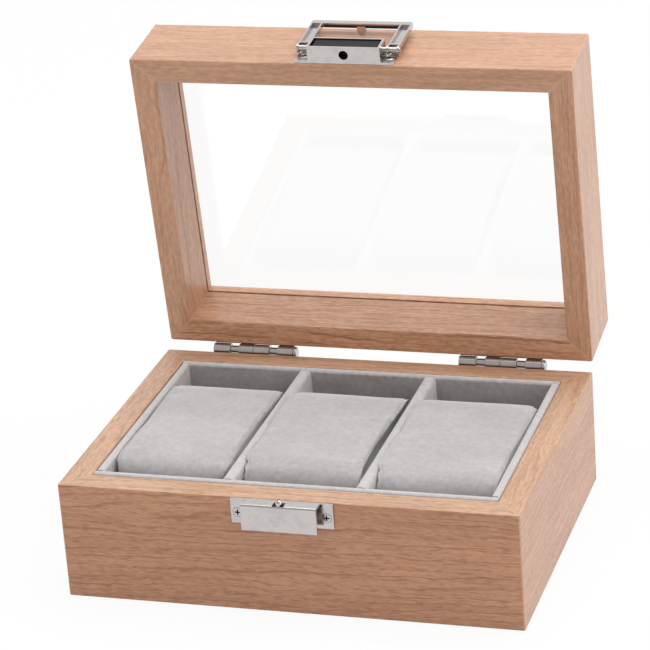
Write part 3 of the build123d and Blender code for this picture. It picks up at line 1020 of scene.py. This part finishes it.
@dataclass(frozen=True)
class StuffedCushion:
    """A stuffed velvet cushion: one strip from front to back, with a panel sewn in at each side."""

    place: str
    # what it fills, from the middle of its place
    front: float = -39.7 * MM
    back: float = 39.6 * MM
    side: float = 23.13 * MM
    bottom: float = 5.8 * MM
    crest: float = 48.7 * MM
    front_shoulder: Shoulder = Shoulder(10.0 * MM, 12.0 * MM)
    back_shoulder: Shoulder = Shoulder(10.0 * MM, 12.0 * MM)
    left_shoulder: Shoulder = Shoulder(4.0 * MM, 0.7 * MM)
    right_shoulder: Shoulder = Shoulder(4.5 * MM, 3.5 * MM)
    front_corner: Shoulder = Shoulder(3.0 * MM, 0.6 * MM)
    back_corner: Shoulder = Shoulder(2.5 * MM, 1.5 * MM)
    # how its right side draws in, and is tucked under
    waist: float = 0.5 * MM
    waist_centre: float = -8.0 * MM
    waist_width: float = 25.0 * MM
    tuck: float = 0.0
    tuck_below: float = 1.6 * MM
    tuck_drop: float = 3.0 * MM
    tuck_start: float = 2.5 * MM
    tuck_run: float = 14.0 * MM
    # how its left edge spills over the divider's rounded ledge
    ledge: float = 45.2 * MM
    ledge_rounding: float = 2.35 * MM
    spill: float = 3.2 * MM
    spill_levels: tuple[float, ...] = (0.3, 0.8, 1.3, 1.8, 2.3, 2.8)
    spill_start: float = 16.0 * MM
    spill_end: float = 22.13 * MM
    spill_fade: Span = (-37.0 * MM, -22.0 * MM)
    # its cover, slack and then stuffed
    cuts: tuple[int, int] = (10, 14)
    slack: float = 0.7 * MM
    voxel: float = 2.4 * MM
    stuffing: Stuffing = Stuffing()
    swell: float = 2.2 * MM
    hold: float = 0.2
    plumpness: float = 1.8 * MM
    full_bend: float = 0.3
    most_plump: float = 1.3
    softness: float = 0.5 * MM
    fill: float = 0.8
    # its side seams, and what is drawn in beside them
    seam_inset: float = 1.5 * MM
    seam_depth: float = 0.45 * MM
    seam_spread: float = 0.55 * MM
    seam_cuts: tuple[float, ...] = (-3.0, -1.6, -0.9, -0.4, 0.0, 0.4, 0.9, 1.6)
    pucker: float = 0.10 * MM
    drape: float = 0.25 * MM
    take_in: float = 0.2 * MM

    @property
    def node(self) -> str:
        """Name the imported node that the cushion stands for."""
        return "cushion_" + self.place

    def centre(self) -> Vector:
        """Find the middle of the cushion's place, at the level of the table."""
        low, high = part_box(self.node)
        return Vector(((low.x + high.x) / 2, (low.y + high.y) / 2, 0.0))

    def sides(self, y: float) -> Span:
        """Find how far the cushion reaches to its left and its right at a depth.

        Args:
            y: The depth, from the middle of the cushion's place.

        Returns:
            The left and the right limit of x.
        """
        corner = self.front_corner.fallen(self.front + self.front_corner.reach - y)
        corner += self.back_corner.fallen(y - self.back + self.back_corner.reach)
        drawn = self.waist * math.exp(-(((y - self.waist_centre) / self.waist_width) ** 2))
        return corner - self.side, self.side - corner - drawn

    def height(self, x: float, y: float) -> float:
        """Find how high the cushion's top stands at a place.

        Args:
            x: The place's x from the middle of the cushion.
            y: Its y.

        Returns:
            The height above the table.
        """
        left, right = self.sides(y)
        return (
            self.crest
            - self.front_shoulder.fallen(self.front + self.front_shoulder.reach - y)
            - self.back_shoulder.fallen(y - self.back + self.back_shoulder.reach)
            - self.right_shoulder.fallen(x - right + self.right_shoulder.reach)
            - self.left_shoulder.fallen(left + self.left_shoulder.reach - x)
        )

    def blank(self) -> Shape:
        """Shape the slack cushion, a little smaller than its place all round.

        Returns:
            The shape, about the middle of the place.
        """
        shape = bmesh.new()
        bmesh.ops.create_cube(shape, size=2.0)
        for axis, cuts in zip((Vector((1, 0, 0)), Vector((0, 1, 0))), self.cuts):
            for step in range(1 - cuts, cuts):
                cut(shape, axis * math.sin(math.pi / 2 * step / cuts), axis, 0.1 * MM)
        middle, half = (self.front + self.back) / 2, (self.back - self.front) / 2 - self.slack
        for vertex in shape.verts:
            across, along, up = vertex.co
            y = middle + half * along
            left, right = self.sides(y)
            x = (left + right) / 2 + across * ((right - left) / 2 - self.slack)
            top = self.height(x, y) - self.slack
            vertex.co = (x, y, self.bottom + self.slack + (up + 1.0) / 2 * (top - self.bottom - self.slack))
        return shape

    def remeshed(self) -> Piece:
        """Turn the blank into an even mesh.

        Returns:
            The slack cushion.
        """
        blank = self.blank()
        mesh = bpy.data.meshes.new("stuffed_" + self.node)
        blank.to_mesh(mesh)
        blank.free()
        piece = bpy.data.objects.new("stuffed_" + self.node, mesh)
        bpy.context.scene.collection.objects.link(piece)
        remesh = piece.modifiers.new("even", "REMESH")
        remesh.mode = "VOXEL"
        remesh.voxel_size = self.voxel
        self.keep_result(piece)
        return piece

    @staticmethod
    def keep_result(piece: Piece) -> None:
        """Apply all of a piece's modifiers to its mesh.

        Args:
            piece: The piece.
        """
        graph = bpy.context.evaluated_depsgraph_get()
        result = bpy.data.meshes.new_from_object(piece.evaluated_get(graph))
        piece.modifiers.clear()
        old = piece.data
        piece.data = result
        bpy.data.meshes.remove(old)

    def inflate(self, piece: Piece) -> None:
        """Blow the cushion up with a cloth simulation, no further than its swell, its corners held out.

        Args:
            piece: The slack cushion.
        """
        start = [(vertex.co.copy(), vertex.normal.copy()) for vertex in piece.data.vertices]
        swollen = self.stuffing.swell(piece)
        for vertex, (before, outward), after in zip(piece.data.vertices, start, swollen):
            move = after - before
            if move.dot(outward) < 0.0:
                move *= self.hold
            if move.length > self.swell:
                move = move.normalized() * self.swell
            vertex.co = before + move

    def plump(self, shape: Shape) -> None:
        """Fill the cushion's edges and corners out again.

        Args:
            shape: The smoothed cushion.
        """
        shape.normal_update()
        for vertex in shape.verts:
            bend = 1.0 - max(abs(part) for part in vertex.normal)
            vertex.co += vertex.normal * self.plumpness * min(bend / self.full_bend, self.most_plump)

    @staticmethod
    def pressed(reach: float, limit: float, soft: float) -> float:
        """Ease a distance so that it comes near its limit but not past it.

        Args:
            reach: The distance.
            limit: Its limit.
            soft: How far before the limit the easing starts.

        Returns:
            The eased distance.
        """
        beyond = reach - limit + soft
        return reach if beyond <= 0.0 else limit - soft * math.exp(-beyond / soft)

    def press_into_place(self, shape: Shape) -> None:
        """Flatten what the cushion presses against and settle its top.

        Args:
            shape: The cushion about the middle of its place.
        """
        soft = self.softness
        for vertex in shape.verts:
            x, y, z = vertex.co
            y = self.pressed(y, self.back, soft) if y > 0 else -self.pressed(-y, -self.front, soft)
            left, right = self.sides(y)
            under = smoothstep((self.ledge + self.tuck_below - z) / self.tuck_drop)
            under *= smoothstep((y - self.front - self.tuck_start) / self.tuck_run)
            right -= self.tuck * under
            x = self.pressed(x, right, soft) if x > 0 else -self.pressed(-x, -left, soft)
            z = max(self.pressed(z, self.height(x, y), soft), self.bottom)
            vertex.co = (x, y, z)

    def spill_over(self, shape: Shape) -> None:
        """Let the cushion's left edge spill over the rounded ledge beside it, clear of its velvet.

        Args:
            shape: The cushion about the middle of its place.
        """
        for level in self.spill_levels:
            cut(shape, (0, 0, self.ledge + level * MM), (0, 0, 1))
        fade_start, fade_end = self.spill_fade
        for vertex in shape.verts:
            x, y, z = vertex.co
            if x > -self.spill_start or z < self.ledge:
                continue
            climb = min(z - self.ledge, self.ledge_rounding)
            over = self.ledge_rounding - math.sqrt(self.ledge_rounding**2 - climb * climb)
            near = smoothstep((-x - self.spill_start) / (self.spill_end - self.spill_start))
            near *= smoothstep((y - fade_start) / (fade_end - fade_start))
            reach = -x + near * min(over * 1.5, self.spill)
            limit = self.side + (over if climb < self.ledge_rounding else self.spill)
            vertex.co.x = -min(reach, max(limit, -x))
        edge = [vertex for vertex in shape.verts if vertex.co.x < -self.side and vertex.co.z > self.ledge]
        for _ in range(2):
            bmesh.ops.smooth_vert(shape, verts=edge, factor=0.4, use_axis_x=True, use_axis_y=True)

    def sew(self, shape: Shape) -> None:
        """Draw the side seams in, with the slight puckers beside them.

        Args:
            shape: The cushion about the middle of its place.
        """
        seam = self.side - self.seam_inset
        for side in (-1, 1):
            for step in self.seam_cuts:
                cut(shape, (side * (seam + step * self.seam_spread), 0, 0), (1, 0, 0))
        shape.normal_update()
        for vertex in shape.verts:
            away = (abs(vertex.co.x) - seam) / self.seam_spread
            draw = self.seam_depth * math.exp(-away * away)
            pucker = self.pucker * math.exp(-((away / 5.0) ** 2))
            pucker *= noise.noise(Vector((vertex.co.y, vertex.co.z, 3.0)) * 260.0)
            drape = self.drape * noise.noise(vertex.co * 45.0 + Vector((len(self.place), 0, 0)))
            lean = Vector((0.15 * vertex.normal.x, 0.4 * vertex.normal.y, vertex.normal.z))
            vertex.co -= lean * (draw + pucker + drape + self.take_in)

    def build(self, velvet: Material) -> Piece:
        """Make the cushion in its place and hand it to its body.

        Args:
            velvet: The cushion's finish.

        Returns:
            The cushion.
        """
        piece = self.remeshed()
        self.inflate(piece)
        shape = bmesh.new()
        shape.from_mesh(piece.data)
        bmesh.ops.subdivide_edges(shape, edges=shape.edges, cuts=1, use_grid_fill=True)
        for _ in range(3):
            bmesh.ops.smooth_vert(
                shape, verts=shape.verts, factor=0.5, use_axis_x=True, use_axis_y=True, use_axis_z=True
            )
        self.plump(shape)
        self.press_into_place(shape)
        self.sew(shape)
        if self.spill > 0.0:
            self.spill_over(shape)
        bmesh.ops.translate(shape, vec=self.centre(), verts=shape.verts)
        shape.to_mesh(piece.data)
        shape.free()
        for face in piece.data.polygons:
            face.use_smooth = True
        piece.data.materials.clear()
        piece.data.materials.append(velvet)
        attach(piece, self.node)
        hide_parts(self.node)
        LOG.info("built %s with %d faces", piece.name, len(piece.data.polygons))
        return piece


# ---------------------------------------------------------------- studio
@dataclass(frozen=True)
class Softbox:
    """A large soft lamp aimed at the box."""

    name: str
    place: Point
    side: float
    power: float
    aim: Point = (0.0, 0.0, 0.07)

    def build(self) -> None:
        """Hang the lamp and turn it to the box."""
        lamp = bpy.data.lights.new(self.name, "AREA")
        lamp.shape = "SQUARE"
        lamp.size = self.side
        lamp.energy = self.power
        holder = bpy.data.objects.new(self.name, lamp)
        holder.location = self.place
        holder.rotation_euler = (Vector(self.aim) - Vector(self.place)).to_track_quat("-Z", "Y").to_euler()
        bpy.context.scene.collection.objects.link(holder)


@dataclass(frozen=True)
class Studio:
    """The camera, the soft lamps, the pale floor and the white surround."""

    eye: Point = (0.32915, -1.00727, 0.53531)
    azimuth: float = math.radians(18.08)
    elevation: float = math.radians(22.80)
    roll: float = math.radians(-4.30)
    focal_pixels: float = 3016.21
    sensor: float = 36.0
    nearest: float = 0.05
    floor_side: float = 6.0
    floor_drop: float = 0.05 * MM
    floor_white: float = 0.82
    floor_roughness: float = 0.9
    floor_glow: float = 0.92
    surround_light: float = 0.72
    front_gloss: float = 0.55
    front_to_back: Span = (-0.5, 0.2)
    lamps: tuple[Softbox, ...] = (
        Softbox("overhead_softbox", (0.15, 0.25, 1.35), 1.1, 11.5),
        Softbox("right_softbox", (1.35, 0.05, 0.75), 0.9, 6.0),
    )

    def camera(self) -> None:
        """Set the camera up by its place, its direction and its roll."""
        forward = Vector(
            (
                -math.sin(self.azimuth) * math.cos(self.elevation),
                math.cos(self.azimuth) * math.cos(self.elevation),
                -math.sin(self.elevation),
            )
        )
        right = forward.cross(Vector((0, 0, 1))).normalized()
        up = right.cross(forward)
        rolled_right = right * math.cos(self.roll) + up * math.sin(self.roll)
        rolled_up = up * math.cos(self.roll) - right * math.sin(self.roll)
        turn = Matrix((rolled_right, rolled_up, -forward)).transposed()
        lens = bpy.data.cameras.new("box_camera")
        lens.sensor_width = self.sensor
        lens.lens = self.focal_pixels / IMAGE_SIDE * self.sensor
        lens.clip_start = self.nearest
        holder = bpy.data.objects.new("box_camera", lens)
        holder.matrix_world = Matrix.Translation(self.eye) @ turn.to_4x4()
        bpy.context.scene.collection.objects.link(holder)
        bpy.context.scene.camera = holder

    @staticmethod
    def seen_white(graph: Graph) -> Any:
        """Find whether a ray shows the floor itself: to the eye, or through or off a surface.

        Args:
            graph: The material's graph.

        Returns:
            A socket that gives 1 where it does.
        """
        path = graph.add("LightPath").outputs
        through = graph.larger(path["Is Camera Ray"], path["Is Transmission Ray"])
        return graph.larger(through, path["Is Glossy Ray"])

    def floor(self) -> None:
        """Lay a pale floor that stays white to the eye and keeps a soft shadow."""
        shape = bmesh.new()
        bmesh.ops.create_grid(shape, x_segments=1, y_segments=1, size=self.floor_side / 2)
        bmesh.ops.translate(shape, vec=(0, 0, -self.floor_drop), verts=shape.verts)
        mesh = bpy.data.meshes.new("pale_floor")
        shape.to_mesh(mesh)
        shape.free()
        floor = bpy.data.objects.new("pale_floor", mesh)
        bpy.context.scene.collection.objects.link(floor)
        graph = FinishGraph.start("pale_floor")
        graph.surface({"Base Color": opaque((self.floor_white,) * 3), "Roughness": self.floor_roughness})
        glow = graph.add("Emission", {"Color": opaque((1.0,) * 3), "Strength": 1.0})
        seen = graph.times(self.seen_white(graph), self.floor_glow)
        mixed = graph.add("MixShader", {0: seen, 1: graph.shader.outputs[0], 2: glow.outputs[0]})
        graph.fill(graph.output.inputs, {"Surface": mixed.outputs[0]})
        mesh.materials.append(graph.material)

    def surround(self) -> None:
        """Light the box from a white surround that is a little dimmer in front in reflections."""
        world = bpy.data.worlds.new("white_surround")
        world.use_nodes = True
        bpy.context.scene.world = world
        graph = Graph(world.node_tree)
        graph.tree.nodes.clear()
        path = graph.add("LightPath").outputs
        direction = graph.add("TexCoord").outputs["Object"]
        _, depth, _ = graph.axes(direction)
        gloss = graph.remap(depth, *self.front_to_back, (self.front_gloss, 1.0))
        direct = graph.larger(path["Is Camera Ray"], path["Is Transmission Ray"])
        level = graph.add(
            "Mix", {0: path["Is Glossy Ray"], 2: self.surround_light, 3: gloss}, data_type="FLOAT"
        ).outputs[0]
        level = graph.add("Mix", {0: direct, 2: level, 3: 1.0}, data_type="FLOAT").outputs[0]
        sky = graph.add("Background", {"Color": opaque((1.0,) * 3), "Strength": level})
        graph.add("OutputWorld", {"Surface": sky.outputs[0]})

    def build(self) -> None:
        """Set up the whole studio."""
        self.camera()
        self.floor()
        self.surround()
        for lamp in self.lamps:
            lamp.build()
        bpy.context.scene.view_settings.view_transform = "Standard"


def main() -> None:
    """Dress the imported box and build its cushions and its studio."""
    logging.basicConfig(level=logging.INFO, format="%(name)s: %(message)s")
    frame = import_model()
    Studio().build()
    for part in (WoodenBase(), GlazedLid(), VelvetLining(), Hardware()):
        part.dress(frame)
    velvet = VelvetFinish("stuffed_velvet", (0.400, 0.373, 0.374), (0.450, 0.421, 0.422)).build()
    for cushion in (
        StuffedCushion(
            "left",
            waist=1.1 * MM,
            tuck=1.0 * MM,
            left_shoulder=Shoulder(2.5 * MM, 1.3 * MM),
            right_shoulder=Shoulder(1.6 * MM, 1.6 * MM),
            front_corner=Shoulder(9.0 * MM, 6.0 * MM),
            spill=0.0,
        ),
        StuffedCushion("middle", waist=1.7 * MM, tuck=2.2 * MM, right_shoulder=Shoulder(1.2 * MM, 1.2 * MM)),
        StuffedCushion("right"),
    ):
        cushion.build(velvet)


if __name__ == "__main__":
    main()
